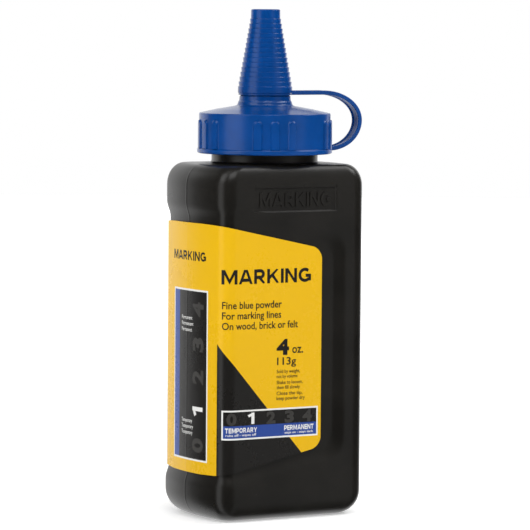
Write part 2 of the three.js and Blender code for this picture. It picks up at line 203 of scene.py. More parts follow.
class ChalkBottleSettings(bpy.types.PropertyGroup):
    """Sizes and colours of the bottle and its label."""

    plastic: colour_setting("Bottle Plastic", "Colour of the bottle", (0.0105, 0.0095, 0.008))
    plate_depth: length_setting("Plate Depth", "How far the plate is sunk", 0.0006)
    letter_height: length_setting("Letter Height", "How far the plate's letters stand", 0.00056)
    yellow: colour_setting("Label Yellow", "Main colour of the label", (0.78, 0.45, 0.0))
    black: colour_setting("Label Black", "Dark areas of the label", (0.012, 0.011, 0.010))
    blue: colour_setting("Label Blue", "Strips on the two scales", (0.022, 0.062, 0.29))
    white: colour_setting("Label White", "Frames and light print", (0.78, 0.78, 0.76))
    grey: colour_setting("Label Grey", "Dim digits on the scales", (0.045, 0.043, 0.040))
    ink_height: length_setting("Ink Height", "How far print stands off the film", 0.00003)


class ChalkClosureSettings(bpy.types.PropertyGroup):
    """Sizes and colours of the closure, tip cap, strap and powder."""

    plastic: colour_setting("Closure Plastic", "Colour of closure, cap and strap", (0.0, 0.052, 0.245))
    rib_height: length_setting("Rib Height", "How far the grip ribs stand", 0.0005)
    strap_width: length_setting("Strap Width", "Width across the strap", 0.0042)
    strap_thickness: length_setting("Strap Thickness", "Thickness of its rims", 0.0013)
    strap_channel: length_setting("Strap Channel", "Depth of the channel in it", 0.0003)
    foam: colour_setting("Liner Foam", "Colour of the sealing ring", (0.80, 0.78, 0.72))
    powder: colour_setting("Powder", "Colour of the chalk", (0.03, 0.13, 0.55))


class ChalkStudioSettings(bpy.types.PropertyGroup):
    """Floor, lights and camera."""

    floor: colour_setting("Floor", "Colour of the floor", (0.90, 0.90, 0.90))
    front_power: power_setting("Front Light", "Power of the high front softbox", 9.0)
    left_power: power_setting("Left Light", "Power of the high left softbox", 3.6)
    right_power: power_setting("Right Light", "Power of the high right softbox", 10.0)
    back_power: power_setting("Back Light", "Power of the high rear softbox", 4.0)
    lens: FloatProperty(
        name="Lens", description="Focal length of the camera", default=234.34, unit="CAMERA"
    )


# ---- Meshes from arrays ----


def grid_faces(rows, columns, closed_rows=False):
    """Quads of a grid of rows by columns whose columns close on themselves, and whose rows do too
    if closed_rows: row r, column c meets row r + 1 and column c + 1, counted round."""
    row = np.arange(rows if closed_rows else rows - 1)[:, None]
    column = np.arange(columns)[None, :]
    after = (column + 1) % columns
    above = (row + 1) % rows
    corners = (
        row * columns + column,
        row * columns + after,
        above * columns + after,
        above * columns + column,
    )
    return np.stack(corners, axis=-1).reshape(-1, 4)


def fan_faces(start, columns, hub, flip):
    """Triangles from one ring of points to a hub in its middle."""
    first = start + np.arange(columns)
    second = start + (np.arange(columns) + 1) % columns
    pair = (second, first) if flip else (first, second)
    return np.stack((np.full(columns, hub), *pair), axis=-1)


def closed_loft(points, closed_rows=False):
    """Vertices and faces of a closed skin over rings of points, given as rows by columns by three.
    Unless the rows close too, each end ring is filled by a fan to its middle."""
    rows, columns = points.shape[:2]
    vertices = points.reshape(-1, 3)
    faces = grid_faces(rows, columns, closed_rows).tolist()
    if closed_rows:
        return vertices, faces
    hubs = np.stack((points[0].mean(axis=0), points[-1].mean(axis=0)))
    count = rows * columns
    faces += fan_faces(0, columns, count, True).tolist()
    faces += fan_faces(count - columns, columns, count + 1, False).tolist()
    return np.vstack((vertices, hubs)), faces


def joined(*solids):
    """Several lists of vertices and faces as one."""
    vertices, faces, count = [], [], 0
    for points, polygons in solids:
        vertices.append(points)
        faces += [[index + count for index in polygon] for polygon in polygons]
        count += len(points)
    return np.vstack(vertices), faces


def new_piece(name, solid, material, crease=32.0):
    """A mesh object of vertices in millimetres, smooth except where faces meet at more than crease
    degrees, finished in one material."""
    vertices, faces = solid
    mesh = bpy.data.meshes.new(name)
    mesh.from_pydata((np.asarray(vertices) * MM).tolist(), [], faces)
    mesh.validate()
    mesh.shade_smooth()
    mesh.set_sharp_from_angle(angle=math.radians(crease))
    mesh.materials.append(material)
    piece = bpy.data.objects.new(name, mesh)
    bpy.context.scene.collection.objects.link(piece)
    return piece


def turned(profile, columns):
    """A ring of points for each radius and height of a profile, turned round Z."""
    angle = np.linspace(0, 2 * np.pi, columns, endpoint=False) if np.isscalar(columns) else columns
    radius, height = np.asarray(profile, float).T
    x = radius[:, None] * np.cos(angle)
    y = radius[:, None] * np.sin(angle)
    z = np.broadcast_to(height[:, None], x.shape)
    return np.stack((x, y, z), axis=-1)


def smoothstep(low, high, value):
    """Zero below low, one above high, and 3t^2 - 2t^3 between them."""
    t = np.clip((value - low) / (high - low), 0, 1)
    return t * t * (3 - 2 * t)


def rounded_min(a, b, band):
    """The lesser of two distances, less a quarter of the band times the square of how nearly they
    are equal within it, so that a corner comes out round."""
    h = np.maximum(band - np.abs(a - b), 0) / band
    return np.minimum(a, b) - h * h * band / 4


def rounded_profile(points, radius, steps=4):
    """An open profile with each inner corner replaced by a short arc: a quadratic curve that leaves
    one side and joins the other at the given distance from the corner."""
    points = np.asarray(points, float)
    result = [points[:1]]
    t = np.linspace(0, 1, steps + 1)[:, None]
    for before, corner, after in zip(points[:-2], points[1:-1], points[2:]):
        back, on = before - corner, after - corner
        reach = min(radius, 0.45 * np.linalg.norm(back), 0.45 * np.linalg.norm(on))
        start = corner + back / np.linalg.norm(back) * reach
        end = corner + on / np.linalg.norm(on) * reach
        result.append((1 - t) ** 2 * start + 2 * t * (1 - t) * corner + t * t * end)
    result.append(points[-1:])
    return np.vstack(result)


# ---- Shader values ----


class Value:
    """An output socket of a finish, so that sums and comparisons on it add their Math nodes."""

    def __init__(self, finish, socket):
        self.finish = finish
        self.socket = socket

    def maths(self, operation, *values):
        return self.finish.node("ShaderNodeMath", {"operation": operation}, dict(enumerate(values)))

    def __add__(self, other):
        return self.maths("ADD", self, other)

    def __sub__(self, other):
        return self.maths("SUBTRACT", self, other)

    def __rsub__(self, other):
        return self.maths("SUBTRACT", other, self)

    def __mul__(self, other):
        return self.maths("MULTIPLY", self, other)

    def __gt__(self, other):
        return self.maths("GREATER_THAN", self, other)

    def __lt__(self, other):
        return self.maths("LESS_THAN", self, other)

    def ramp(self, low, high):
        """Zero below low, one above high, smooth between."""
        settings = {"interpolation_type": "SMOOTHSTEP"}
        return self.finish.node("ShaderNodeMapRange", settings, {0: self, 1: low, 2: high})

    __radd__ = __add__
    __rmul__ = __mul__


class Finish:
    """A node tree and the means to add nodes to it."""

    def __init__(self, owner):
        self.owner = owner
        owner.use_nodes = True
        self.tree = owner.node_tree

    def node(self, kind, settings=None, inputs=None, output=0):
        """Adds a node, sets its settings first and then its sockets, and gives one of its outputs."""
        node = self.tree.nodes.new(kind)
        for key, value in (settings or {}).items():
            setattr(node, key, value)
        for key, value in (inputs or {}).items():
            self.put(node.inputs[key], value)
        return Value(self, node.outputs[output])

    def put(self, socket, value):
        """Links a value to a socket, or sets a plain number or colour on it."""
        if isinstance(value, Value):
            self.tree.links.new(value.socket, socket)
        else:
            socket.default_value = value

    def place(self):
        """Where a point of the piece is, in metres."""
        return self.node("ShaderNodeTexCoord", output="Object")

    def axis(self, vector, name):
        return self.node("ShaderNodeSeparateXYZ", None, {0: vector}, name)

    def noise(self, vector, per_metre, detail=3.0, roughness=0.55):
        """Noise of about that many lumps in a metre."""
        inputs = {"Vector": vector, "Scale": per_metre, "Detail": detail, "Roughness": roughness}
        return self.node("ShaderNodeTexNoise", None, inputs)

    def specks(self, vector, per_metre, size):
        """One in small round dots, a few to each cell of a Voronoi pattern, and zero elsewhere."""
        settings = {"feature": "F1"}
        inputs = {"Vector": vector, "Scale": per_metre, "Randomness": 1.0}
        return self.node("ShaderNodeTexVoronoi", settings, inputs, "Distance") < size

    def mix(self, factor, first, second):
        """The first colour where the factor is zero and the second where it is one."""
        settings = {"data_type": "RGBA"}
        return self.node("ShaderNodeMix", settings, {0: factor, 6: first, 7: second}, 2)

    def bump(self, height, distance, strength=1.0, normal=None):
        """A normal pushed by a height that is multiplied by a distance in metres."""
        inputs = {"Height": height, "Distance": distance, "Strength": strength}
        if normal:
            inputs["Normal"] = normal
        return self.node("ShaderNodeBump", None, inputs)

    def surface(self, **sockets):
        """Sets sockets of the shader, named with underscores for spaces."""
        shader = self.tree.nodes["Principled BSDF"]
        for name, value in sockets.items():
            label = name.replace("_", " ").title().replace("Ior", "IOR")
            self.put(shader.inputs[label], value)
        return self.owner


def new_finish(name):
    """The finish of a new material."""
    return Finish(bpy.data.materials.new(name))


def rgba(colour, factor=1.0):
    """A linear colour, made lighter or darker, with its alpha."""
    return (*(min(1.0, channel * factor) for channel in colour), 1.0)


def bottle_plastic(colour):
    """Satin black polyethylene: a fine spark-eroded grain, slow waves in the blown wall, cloudy
    gloss, and a few pale specks of dust."""
    finish = new_finish("bottle_plastic")
    place = finish.place()
    cloud = finish.noise(place, 55, 4.0)
    grain = finish.noise(place, 2600, 2.0, 0.7)
    dust = finish.specks(place, 260, 0.022) * (finish.noise(place, 90) > 0.56)
    base = finish.mix(cloud.ramp(0.3, 0.7), rgba(colour, 0.8), rgba(colour, 1.25))
    waves = finish.bump(finish.noise(place, 38, 1.0), 0.0006, 0.25)
    return finish.surface(
        base_color=finish.mix(dust * 0.5, base, rgba((0.3, 0.29, 0.27))),
        roughness=0.24 + cloud * 0.1 + dust * 0.2,
        normal=finish.bump(grain, 0.00004, 0.45, waves),
        specular_ior_level=0.3,
    )


def closure_plastic(colour, name="closure_plastic"):
    """Semi-gloss blue polypropylene with faint flow marks, fine grain and a few pale specks of dust."""
    finish = new_finish(name)
    place = finish.place()
    flow = finish.noise(place, 70, 3.0)
    grain = finish.noise(place, 3000, 2.0, 0.6)
    dust = finish.specks(place, 330, 0.02) * (finish.noise(place, 110) > 0.58)
    base = finish.mix(flow.ramp(0.3, 0.7), rgba(colour, 0.88), rgba(colour, 1.12))
    return finish.surface(
        base_color=finish.mix(dust * 0.35, base, rgba((0.45, 0.5, 0.6))),
        roughness=0.17 + flow * 0.12,
        normal=finish.bump(grain, 0.00003, 0.3),
        specular_ior_level=0.33,
    )


def box_mask(across, up, left, right, low, high):
    """One inside a rectangle of the label and zero outside it."""
    return (across > left) * (across < right) * (up > low) * (up < high)


def label_film(settings):
    """Printed film. The label's own map holds the distance round it from the middle of the side and
    the height, as shares of the map's width, and the flat areas of print are cut from those: the
    dark corner under a slanting edge, and the two scales with their frames and strips."""
    finish = new_finish("label_film")
    wrap = finish.node("ShaderNodeUVMap", {"uv_map": "Wrap"})
    across = (finish.axis(wrap, "X") - 0.5) * MAP_WIDTH
    up = finish.axis(wrap, "Y") * MAP_WIDTH
    place = finish.place()
    mottle = finish.noise(place, 900, 3.0, 0.7)
    cloud = finish.noise(place, 40, 2.0)
    side = across.maths("ABSOLUTE", across)
    slant = DARK_CORNER_HEIGHT + DARK_CORNER_SLOPE * DARK_CORNER_EDGE
    corner = (side > DARK_CORNER_EDGE) * ((up + side * DARK_CORNER_SLOPE) < slant)
    yellow = finish.mix(mottle, rgba(settings.yellow, 0.97), rgba(settings.yellow, 1.03))
    colour = finish.mix(corner, yellow, rgba(settings.black))
    for left, right, low, high, rim in SCALE_FRAMES:
        outer = box_mask(across, up, left, right, low, high)
        inner = box_mask(across, up, left + rim, right - rim, low + rim, high - rim)
        colour = finish.mix(outer, colour, rgba(settings.white))
        colour = finish.mix(inner, colour, rgba(settings.black))
    front_strip, side_strip = (box_mask(across, up, *strip) for strip in SCALE_STRIPS)
    colour = finish.mix(front_strip + side_strip, colour, rgba(settings.blue))
    fleck = finish.noise(place, 1500, 1.0)
    waves = finish.bump(finish.noise(place, 70, 2.0), 0.0005, 0.3)
    return finish.surface(
        base_color=colour,
        roughness=0.2 + cloud * 0.12 + mottle * 0.04,
        normal=finish.bump(fleck, 0.00001, 0.12, waves),
        specular_ior_level=0.28,
    )


def print_ink(name, colour):
    """A thin layer of ink with small uneven spots."""
    finish = new_finish(name)
    spots = finish.noise(finish.place(), 2400, 2.0)
    return finish.surface(
        base_color=finish.mix(spots, rgba(colour, 0.88), rgba(colour, 1.12)),
        roughness=0.34 + spots * 0.12,
        normal=finish.bump(spots, 0.00001, 0.3),
        specular_ior_level=0.25,
    )


def foam_sheet(colour):
    """Fine white foam: small open cells pressed flat."""
    finish = new_finish("liner_foam")
    place = finish.place()
    settings = {"feature": "DISTANCE_TO_EDGE"}
    cells = finish.node("ShaderNodeTexVoronoi", settings, {"Vector": place, "Scale": 2200.0})
    return finish.surface(
        base_color=finish.mix(cells.ramp(0.0, 0.25), rgba(colour, 0.8), rgba(colour)),
        roughness=0.92,
        normal=finish.bump(cells, 0.00008, 0.5),
    )


def chalk_dust(colour):
    """Dry powder: coarse and fine lumps, with painted light on their crests and painted shade in the
    hollows between them.
    """
    finish = new_finish("chalk")
    place = finish.place()
    lumps = finish.noise(place, 320, 6.0, 0.7)
    return finish.surface(
        # the colour follows the lumps' height: painted shade in the hollows and a painted highlight on the
        # crests
        base_color=finish.mix(lumps.ramp(0.35, 0.65), rgba(colour, 0.75), rgba(colour, 1.3)),
        roughness=0.97,
        normal=finish.bump(lumps, 0.0006, 0.8),
    )


def studio_floor(colour):
    """Matt board with a faint tooth, which glows a little more the further it is from the object, by
    a smooth step of the distance from the origin, so that it fades into the white surroundings."""
    finish = new_finish("studio_floor")
    tooth = finish.noise(finish.place(), 300, 3.0)
    across, deep = (finish.axis(finish.place(), name) for name in "XY")
    square = across * across + deep * deep
    away = square.maths("SQRT", square)
    return finish.surface(
        base_color=finish.mix(tooth, rgba(colour, 0.985), rgba(colour, 1.01)),
        emission_color=finish.mix(away.ramp(0.12, 0.7), rgba(colour, 0.45), rgba(colour, 1.05)),
        emission_strength=1.0,
        roughness=0.95,
        normal=finish.bump(tooth, 0.00005, 0.2),
    )


# ---- Body ----


def wall_fractions():
    """Where the stations of a quarter of the outline lie: fractions of the side arc, close together
    at the mould seam, of the corner arc, and of the flat face, close together at the plate's and
    the label's edges."""
    seam = np.array([0, 0.1, 0.2, 0.35]) / (SIDE_RADIUS * outline_lean())
    side = np.concatenate((seam, np.linspace(0.06, 1, 15, endpoint=False)))
    corner = np.linspace(0, 1, 14, endpoint=False)
    far = BODY_WIDTH / 2 - SIDE_RADIUS + (SIDE_RADIUS - CORNER_RADIUS) * math.cos(outline_lean())
    plate = PLATE_HALF_WIDTH + np.array([-0.3, -0.15, 0.0, 0.15, 0.3])
    edge = LABEL_EDGE - np.array([0.02, 0.06, 0.15, 0.3, 0.5, 0.9])
    even = np.arange(0, far, 0.5)
    even = even[(np.abs(even - PLATE_HALF_WIDTH) > 0.4) & (np.abs(even - LABEL_EDGE + 0.4) > 0.7)]
    across = np.sort(np.concatenate((even, plate, edge, [far])))[::-1]
    return side, corner, 1 - across / far


def outline_lean(depth=BODY_DEPTH, corner=CORNER_RADIUS):
    """The angle of the side arc at the point where the corner takes over from it."""
    return np.arcsin((depth / 2 - corner) / (SIDE_RADIUS - corner))


def body_outline(width, depth, corner):
    """The outline in plan, and its outward normals, for arrays of sizes. A quarter is an arc of the
    side's radius, an arc of the corner's radius tangent to it, and a straight face. The rest is
    that quarter mirrored, anticlockwise from +X."""
    side_part, corner_part, face_part = wall_fractions()
    width, depth, corner = (np.atleast_1d(size)[:, None] for size in (width, depth, corner))
    lean = outline_lean(depth, corner)
    side_x = width / 2 - SIDE_RADIUS
    corner_x = side_x + (SIDE_RADIUS - corner) * np.cos(lean)
    corner_y = (SIDE_RADIUS - corner) * np.sin(lean)
    first = lean * side_part
    second = lean + (np.pi / 2 - lean) * corner_part
    flat = np.ones_like(lean) * face_part
    angle = np.hstack((first, second, flat * 0 + np.pi / 2))
    x = np.hstack(
        (
            side_x + SIDE_RADIUS * np.cos(first),
            corner_x + corner * np.cos(second),
            corner_x * (1 - flat),
        )
    )
    y = np.hstack(
        (SIDE_RADIUS * np.sin(first), corner_y + corner * np.sin(second), depth / 2 + flat * 0)
    )
    quarter = np.stack((x, y, np.cos(angle), np.sin(angle)), axis=-1)
    mirrored = quarter[:, 1:][:, ::-1] * (-1, 1, -1, 1)
    half = np.concatenate((quarter[:, :-1], mirrored), axis=1)
    return np.concatenate((half, half * -1), axis=1)


def panel_cut(x, z):
    """How much of the recess is cut, from 0 to 1: a smooth step across its border, which is where
    the least distance to the sloping top, the sloping bottom and the upright edge is zero."""
    along = np.maximum(0, x - PANEL_BEND)
    top = PANEL_TOP - PANEL_TOP_SLOPE * along - z
    bottom = z - PANEL_BOTTOM - PANEL_BOTTOM_SLOPE * along
    inside = rounded_min(rounded_min(top, bottom, PANEL_ROUND), PANEL_EDGE - x, PANEL_ROUND)
    return smoothstep(-PANEL_RAMP, PANEL_RAMP, inside)


def body_levels(fine):
    """Height, width, depth and corner radius of each level: a quarter ellipse up from the base, the
    upright wall, and a quarter ellipse in to the shoulder."""
    steps = 12 if fine else 5
    t = np.linspace(0, np.pi / 2, steps, endpoint=False)
    inset = 1 - np.sin(t)
    base = np.stack(
        (
            BASE_ROUND["height"] * (1 - np.cos(t)),
            BODY_WIDTH - 2 * BASE_ROUND["inset"] * inset,
            BODY_DEPTH - 2 * BASE_ROUND["inset"] * inset,
            CORNER_RADIUS + (BASE_ROUND["corner"] - CORNER_RADIUS) * inset,
        ),
        axis=-1,
    )
    foot, shoulder = BASE_ROUND["height"], SHOULDER_TOP - SHOULDER_ROUND["height"]
    height = np.linspace(foot, shoulder, 112 if fine else 14)
    if fine:
        edges = np.array([-0.25, -0.1, 0.05, 0.2])
        extra = np.concatenate((PLATE_LOW + edges, PLATE_HIGH - edges - 0.2))
        height = height[np.abs(height[:, None] - extra).min(axis=1) > 0.12]
        height = np.sort(np.concatenate((height, extra)))
    wall = np.stack(
        (height, *(np.full_like(height, size) for size in (BODY_WIDTH, BODY_DEPTH, CORNER_RADIUS))),
        axis=-1,
    )
    t = np.linspace(0, np.pi / 2, steps + 1)[1:]
    inset = 1 - np.cos(t)
    top = np.stack(
        (
            shoulder + SHOULDER_ROUND["height"] * np.sin(t),
            BODY_WIDTH - 2 * SHOULDER_ROUND["side"] * inset,
            BODY_DEPTH - 2 * SHOULDER_ROUND["face"] * inset,
            CORNER_RADIUS + (SHOULDER_ROUND["corner"] - CORNER_RADIUS) * inset,
        ),
        axis=-1,
    )
    return np.vstack((base, wall, top))


def body_rings(levels, inwards, plate_depth=0.0):
    """The wall at each level, moved in along its normal by the wall's thickness, the recess, the
    sunk plate and all but the crest of the mould seam, which runs up both sides."""
    height, width, depth, corner = levels.T
    outline = body_outline(width, depth, corner)
    x, y, nx, ny = np.moveaxis(outline, -1, 0)
    z = height[:, None]
    ridge = np.exp(-((y / 0.16) ** 2)) * (np.abs(x) > 5)
    move = inwards + PANEL_DEPTH * panel_cut(x, z) + SEAM * (1 - ridge)
    plate = smoothstep(-0.15, 0.1, PLATE_HALF_WIDTH - np.abs(x))
    plate = plate * smoothstep(-0.15, 0.1, z - PLATE_LOW) * smoothstep(-0.15, 0.1, PLATE_HIGH - z)
    move = move + plate_depth * plate * (y < 0) * (np.abs(ny) > 0.99)
    upward = inwards + z * (SHOULDER_TOP - 2 * inwards) / SHOULDER_TOP
    return np.stack((x - nx * move, y - ny * move, upward + x * 0), axis=-1)


def neck_rings(profile):
    """Circles of the neck, with a point on each at the same angle as each of the wall's."""
    wall = body_outline(BODY_WIDTH, BODY_DEPTH, CORNER_RADIUS)[0]
    return turned(profile, np.arctan2(wall[:, 1], wall[:, 0]))


def shoulder_rings(wall_ring, radius, height, count):
    """Rings that pass from the shoulder's outline to a circle, by a straight share of each."""
    circle = neck_rings([(radius, height)])[0]
    share = np.linspace(0, 1, count + 2)[1:-1, None, None]
    return wall_ring * (1 - share) + circle * share


def thread_ridge(root, crest, start_height, start_turn):
    """A screw ridge: a four-cornered section, wide at the root, carried along a helix that rises
    one pitch in each turn and fades at both ends."""
    steps = np.arange(0, 121)
    turn = THREAD_TURNS * steps / steps[-1]
    angle = 2 * np.pi * (start_turn + turn)
    fade = np.clip(np.minimum(steps, steps[-1] - steps) / 9, 0.15, 1)
    radius = np.stack((root + 0 * fade, *([root + (crest - root) * fade] * 2), root + 0 * fade), axis=-1)
    rise = start_height + THREAD_PITCH * turn[:, None] + np.array([-0.95, -0.4, 0.4, 0.95])
    x = radius * np.cos(angle)[:, None]
    y = radius * np.sin(angle)[:, None]
    points = np.stack((x, y, rise), axis=-1)
    return closed_loft(points if crest > root else points[:, ::-1])


def build_bottle(settings):
    """The blown bottle with its recess, plate, seam, neck, thread and hollow inside."""
    material = bottle_plastic(settings.plastic)
    outer = body_rings(body_levels(True), 0.0, settings.plate_depth / MM)
    inner = body_rings(body_levels(False), WALL)[::-1]
    foot = SHOULDER_TOP + 0.2
    t = np.linspace(0, np.pi / 2, 7)
    fillet = np.stack((NECK_RADIUS + 0.8 - 0.8 * np.sin(t), foot + 0.8 - 0.8 * np.cos(t)), axis=-1)
    lip = [
        (NECK_RADIUS, NECK_TOP - 0.3),
        (NECK_RADIUS - 0.1, NECK_TOP - 0.08),
        (NECK_RADIUS - 0.3, NECK_TOP),
    ]
    mouth = [
        (NECK_BORE + 0.15, NECK_TOP),
        (NECK_BORE, NECK_TOP - 0.2),
        (NECK_BORE, SHOULDER_TOP - 1.6),
    ]
    shoulder = shoulder_rings(outer[-1], NECK_RADIUS + 0.8, foot, 10)
    rings = np.concatenate((outer, shoulder, neck_rings(np.vstack((fillet, lip, mouth))), inner))
    ridge = thread_ridge(NECK_RADIUS - 0.3, NECK_RADIUS + 1.1, THREAD_START, 0.0)
    bottle = new_piece("bottle_shell", joined(closed_loft(rings), ridge), material, 50)
    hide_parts("bottle")
    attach(bottle, "bottle_body")
    half_thickness = 0.5 * settings.letter_height / MM
    letters, faces = letter_solid("MARKING", PLATE_WORD_WIDTH, PLATE_WORD_HEIGHT, half_thickness)
    x, y, out = letters.T
    front = -BODY_DEPTH / 2 + settings.plate_depth / MM + SEAM
    foot = (PLATE_LOW + PLATE_HIGH - PLATE_WORD_HEIGHT) / 2
    points = np.stack((x - PLATE_WORD_WIDTH / 2, front - out, y + foot), axis=-1)
    plate = new_piece("plate_letters", (points, faces), material, 30)
    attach(plate, "bottle_body")


# ---- Label ----


def label_path(inset):
    """The label's run in plan, from its free edge on the back round the -X side to its free edge on
    the front, at a distance inside the wall: the distance round it from the middle of the side,
    positive towards the front, then x, y and the normal."""
    wall = body_outline(BODY_WIDTH, BODY_DEPTH, CORNER_RADIUS)[0]
    wall = wall[wall[:, 0] < LABEL_EDGE - 0.01]
    x, y, nx, ny = wall.T
    ridge = np.exp(-((y / 0.16) ** 2)) * (x < -5)
    move = inset - 0.5 * SEAM * ridge
    px, py = x - nx * move, y - ny * move
    run = np.concatenate(([0], np.cumsum(np.hypot(np.diff(px), np.diff(py)))))
    middle = np.interp(0, -y[x < -20], run[x < -20])
    return run - middle, px, py, nx, ny


def label_span(x):
    """Bottom and top of the label at a place along X: straight sloping edges, with quarter circles
    at the free corners."""
    along = np.maximum(0, x - LABEL_BEND)
    near = np.maximum(0, LABEL_CORNER - np.maximum(0, LABEL_EDGE - x))
    bend = LABEL_CORNER - np.sqrt(np.maximum(0, LABEL_CORNER**2 - near**2))
    return LABEL_BOTTOM + LABEL_SLOPE * along + bend, LABEL_TOP - LABEL_SLOPE * along - bend


def label_shape():
    """A thin closed skin: for each station round the label, a loop up its back and down its face,
    so that its faces point outwards, and the distance round the label of each point."""
    run, x, y, nx, ny = label_path(LABEL_FACE)
    low, high = label_span(x)
    rise = np.linspace(0, 1, 90)
    face = low[:, None] + (high - low)[:, None] * rise
    back = face[:, ::-1][:, ::6]
    deeper = LABEL_BACK - LABEL_FACE
    shapes = []
    for inward, height in ((0.0, face), (deeper, back)):
        across = x[:, None] - nx[:, None] * inward + height * 0
        depth = y[:, None] - ny[:, None] * inward + height * 0
        shapes.append(np.stack((across, depth, height), axis=-1))
    points = np.concatenate(shapes, axis=1)[:, ::-1]
    around = np.broadcast_to(run[:, None], points.shape[:2])
    return points, around


def add_wrap_map(piece, around, height):
    """Stores the distance round the label, from the map's middle, and the height in the piece's map,
    both as shares of the map's width."""
    layer = piece.data.uv_layers.new(name="Wrap")
    corner = np.empty(len(piece.data.loops), np.int32)
    piece.data.loops.foreach_get("vertex_index", corner)
    uv = np.stack((around / MAP_WIDTH + 0.5, height / MAP_WIDTH), axis=-1)[corner]
    layer.data.foreach_set("uv", uv.astype(np.float32).ravel())


def arc(across, up, wide, tall, start, end):
    """Points of an ellipse about a centre from one angle to another, in degrees."""
    angle = np.radians(np.linspace(start, end, 18))
    return list(zip(across + wide * np.cos(angle), up + tall * np.sin(angle)))


def stem(across):
    """The line of an upright stroke of a letter."""
    return [(across, 0), (across, 1)]


BOLD_LETTERS = {
    "M": (1.16, [stem(0.11), stem(1.05), [(0.16, 1.0), (0.58, 0.1), (1.0, 1.0)]]),
    "A": (1.08, [[(0.09, -0.04), (0.5, 1.02)], [(0.58, 1.02), (0.99, -0.04)], [(0.28, 0.27), (0.8, 0.27)]]),
    "R": (
        0.92,
        [
            stem(0.11),
            [(0.11, 0.89), *arc(0.5, 0.665, 0.24, 0.225, 90, -90), (0.11, 0.44)],
            [(0.4, 0.46), (0.8, -0.03)],
        ],
    ),
    "K": (0.98, [stem(0.11), [(0.83, 1.03), (0.15, 0.36)], [(0.4, 0.58), (0.86, -0.03)]]),
    "I": (0.22, [stem(0.11)]),
    "N": (0.95, [stem(0.11), stem(0.84), [(0.13, 1.0), (0.82, 0.0)]]),
    "G": (
        1.02,
        [arc(0.52, 0.5, 0.41, 0.39, 48, 318), [(0.91, 0.1), (0.91, 0.55)], [(0.58, 0.46), (1.0, 0.46)]],
    ),
    "T": (0.86, [[(0.43, 0), (0.43, 0.95)], [(0.0, 0.89), (0.86, 0.89)]]),
    "E": (0.74, [stem(0.11), *([(0.11, up), (0.74, up)] for up in (0.89, 0.5, 0.11))]),
    "P": (0.84, [stem(0.11), [(0.11, 0.89), *arc(0.46, 0.64, 0.27, 0.25, 90, -90), (0.11, 0.39)]]),
    "O": (1.04, [arc(0.52, 0.5, 0.41, 0.39, 0, 360)]),
    "Y": (0.98, [[(0.09, 1.04), (0.5, 0.45)], [(0.89, 1.04), (0.48, 0.45)], [(0.49, 0), (0.49, 0.5)]]),
    "1": (0.5, [stem(0.36), [(0.38, 0.88), (0.02, 0.7)]]),
}
BOLD_STROKE = 0.22
BOLD_GAP = 0.13


def stroke(path, half_thickness):
    """A bar of a bold letter along a flat path, for capitals of height one, with mitred corners: at
    each point its edges lie half the stroke from the line, over the cosine of half the bend. Ends
    that pass the top or foot of the letter are cut level."""
    path = np.array(path, dtype=float)
    ahead = np.diff(path, axis=0)
    ahead /= np.linalg.norm(ahead, axis=1)[:, None]
    before = np.vstack((ahead[:1], ahead))
    mean = before + np.vstack((ahead, ahead[-1:]))
    mean /= np.linalg.norm(mean, axis=1)[:, None]
    reach = 0.5 * BOLD_STROKE / (before * mean).sum(axis=1)
    offset = np.stack((-mean[:, 1], mean[:, 0]), axis=-1) * reach[:, None]
    edges = np.stack((path + offset, path - offset, path - offset, path + offset), axis=1)
    edges[..., 1] = np.clip(edges[..., 1], 0, 1)
    height = np.broadcast_to(half_thickness * np.array([1, 1, -1, -1]), edges.shape[:2])
    return closed_loft(np.concatenate((edges, height[..., None]), axis=-1))


def bold_shape(words, height, half_thickness):
    """Words of the bold letters above, each stroke a closed bar and a hair thicker than the one
    before it, so that no two faces lie in one plane."""
    bars, across = [], 0.0
    for letter in words:
        wide, paths = BOLD_LETTERS[letter]
        for count, path in enumerate(paths):
            points, faces = stroke(path, half_thickness * (1 + 0.05 * count) / height)
            bars.append((points + (across, 0, 0), faces))
        across += wide + BOLD_GAP
    points, faces = joined(*bars)
    mesh = bpy.data.meshes.new("words")
    mesh.from_pydata((points * height).tolist(), [], faces)
    return mesh


def font_shape(words, height, half_thickness, weight):
    """Words in the plain built-in type, thickened all round by the weight."""
    curve = bpy.data.curves.new("words", "FONT")
    curve.body = words
    curve.size = height / 0.72
    curve.offset = weight
    curve.extrude = half_thickness
    curve.resolution_u = 3
    text = bpy.data.objects.new("words", curve)
    bpy.context.scene.collection.objects.link(text)
    bpy.context.view_layer.update()
    mesh = bpy.data.meshes.new_from_object(text.evaluated_get(bpy.context.evaluated_depsgraph_get()))
    bpy.data.objects.remove(text)
    bpy.data.curves.remove(curve)
    return mesh


def letter_solid(words, width, height, half_thickness, weight=0.0):
    """Words as closed solids lying in XY, of the width, with capitals of the height, and cut into
    small squares so that they can be wrapped. Words that the bold letters can spell are set in
    those, which take no weight."""
    if set(words) <= set(BOLD_LETTERS):
        mesh = bold_shape(words, height, half_thickness)
    else:
        mesh = font_shape(words, height, half_thickness, weight)
    shape = bmesh.new()
    shape.from_mesh(mesh)
    bpy.data.meshes.remove(mesh)
    bmesh.ops.remove_doubles(shape, verts=shape.verts, dist=1e-5)
    bmesh.ops.recalc_face_normals(shape, faces=shape.faces)
    reach = np.array([vertex.co for vertex in shape.verts])
    left, right = reach[:, 0].min(), reach[:, 0].max()
    for axis, way in enumerate(np.eye(3)[:2]):
        for place in np.arange(reach[:, axis].min() + 0.8, reach[:, axis].max(), 0.8):
            everything = shape.verts[:] + shape.edges[:] + shape.faces[:]
            bmesh.ops.bisect_plane(shape, geom=everything, plane_co=way * place, plane_no=way)
    points = np.array([vertex.co for vertex in shape.verts])
    faces = [[vertex.index for vertex in face.verts] for face in shape.faces]
    shape.free()
    points[:, 0] -= left
    points[:, 0] *= width / (right - left)
    return points, faces


